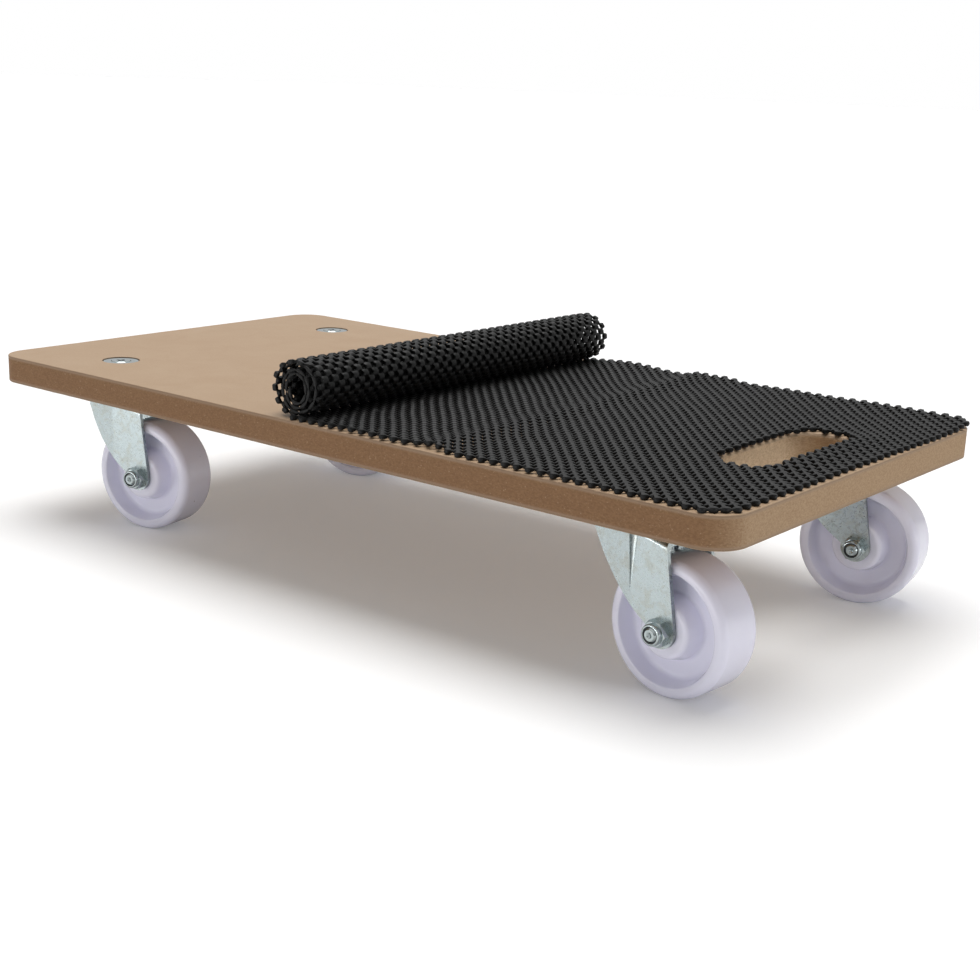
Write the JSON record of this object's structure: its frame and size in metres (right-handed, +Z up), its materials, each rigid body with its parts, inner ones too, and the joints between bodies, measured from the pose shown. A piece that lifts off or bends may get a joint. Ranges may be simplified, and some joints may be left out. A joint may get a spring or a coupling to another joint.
{
  "type": "furniture dolly",
  "caption": "Flat MDF furniture dolly with a hand slot, swivel casters on white plastic wheels and a loose open-mesh grip mat, partly rolled up.",
  "frame": {"origin": "on the floor, under the middle of the deck", "axes": "+X along the deck towards the hand slot, +Y across the deck to the left, +Z up"},
  "size_m": [0.58, 0.3, 0.147],
  "materials": {
    "mdf": "sanded, uncoated MDF",
    "mat_foam": "satin foamed PVC on a scrim",
    "zinc_steel": "bright zinc plating",
    "ball_steel": "polished balls",
    "wheel_plastic": "moulded white polypropylene",
    "insert_plastic": "dark nylon"
  },
  "bodies": {
    "deck": {"deck_board": "mdf", "king_bolts": "zinc_steel", "king_washers": "zinc_steel", "king_nuts": "zinc_steel", "top_race_front_left": "zinc_steel", "lower_race_front_left": "zinc_steel", "top_race_front_right": "zinc_steel", "lower_race_front_right": "zinc_steel", "top_race_rear_left": "zinc_steel", "lower_race_rear_left": "zinc_steel", "top_race_rear_right": "zinc_steel", "lower_race_rear_right": "zinc_steel"},
    "mat": {"grip_mat": "mat_foam", "grip_mat_roll": "mat_foam"},
    "caster_front_left": {"fork_front_left": "zinc_steel", "upper_balls_front_left": "ball_steel", "lower_balls_front_left": "ball_steel", "axle_bolt_front_left": "zinc_steel", "axle_sleeve_front_left": "zinc_steel", "axle_nut_front_left": "zinc_steel", "nut_insert_front_left": "insert_plastic"},
    "roller_front_left": {"wheel_front_left": "wheel_plastic"},
    "caster_front_right": {"fork_front_right": "zinc_steel", "upper_balls_front_right": "ball_steel", "lower_balls_front_right": "ball_steel", "axle_bolt_front_right": "zinc_steel", "axle_sleeve_front_right": "zinc_steel", "axle_nut_front_right": "zinc_steel", "nut_insert_front_right": "insert_plastic"},
    "roller_front_right": {"wheel_front_right": "wheel_plastic"},
    "caster_rear_left": {"fork_rear_left": "zinc_steel", "upper_balls_rear_left": "ball_steel", "lower_balls_rear_left": "ball_steel", "axle_bolt_rear_left": "zinc_steel", "axle_sleeve_rear_left": "zinc_steel", "axle_nut_rear_left": "zinc_steel", "nut_insert_rear_left": "insert_plastic"},
    "roller_rear_left": {"wheel_rear_left": "wheel_plastic"},
    "caster_rear_right": {"fork_rear_right": "zinc_steel", "upper_balls_rear_right": "ball_steel", "lower_balls_rear_right": "ball_steel", "axle_bolt_rear_right": "zinc_steel", "axle_sleeve_rear_right": "zinc_steel", "axle_nut_rear_right": "zinc_steel", "nut_insert_rear_right": "insert_plastic"},
    "roller_rear_right": {"wheel_rear_right": "wheel_plastic"}
  },
  "joints": [
    {"name": "mat_lift", "type": "slide", "parent": "deck", "child": "mat", "axis": [0, 0, 1], "range_m": [0, 0.1]},
    {"name": "swivel_front_left", "type": "hinge", "parent": "deck", "child": "caster_front_left", "pos_m": [0.215, 0.1025, 0.094], "axis": [0, 0, 1], "continuous": true},
    {"name": "spin_front_left", "type": "hinge", "parent": "caster_front_left", "child": "roller_front_left", "pos_m": [0.24259, 0.10727, 0.0375], "axis": [-0.1702, 0.9854, 0], "continuous": true},
    {"name": "swivel_front_right", "type": "hinge", "parent": "deck", "child": "caster_front_right", "pos_m": [0.215, -0.1025, 0.094], "axis": [0, 0, 1], "continuous": true},
    {"name": "spin_front_right", "type": "hinge", "parent": "caster_front_right", "child": "roller_front_right", "pos_m": [0.24288, -0.10504, 0.0375], "axis": [0.0906, 0.9959, 0], "continuous": true},
    {"name": "swivel_rear_left", "type": "hinge", "parent": "deck", "child": "caster_rear_left", "pos_m": [-0.215, 0.1025, 0.094], "axis": [0, 0, 1], "continuous": true},
    {"name": "spin_rear_left", "type": "hinge", "parent": "caster_rear_left", "child": "roller_rear_left", "pos_m": [-0.18849, 0.11152, 0.0375], "axis": [-0.3223, 0.9466, 0], "continuous": true},
    {"name": "swivel_rear_right", "type": "hinge", "parent": "deck", "child": "caster_rear_right", "pos_m": [-0.215, -0.1025, 0.094], "axis": [0, 0, 1], "continuous": true},
    {"name": "spin_rear_right", "type": "hinge", "parent": "caster_rear_right", "child": "roller_rear_right", "pos_m": [-0.18757, -0.09687, 0.0375], "axis": [-0.2011, 0.9796, 0], "continuous": true}
  ]
}
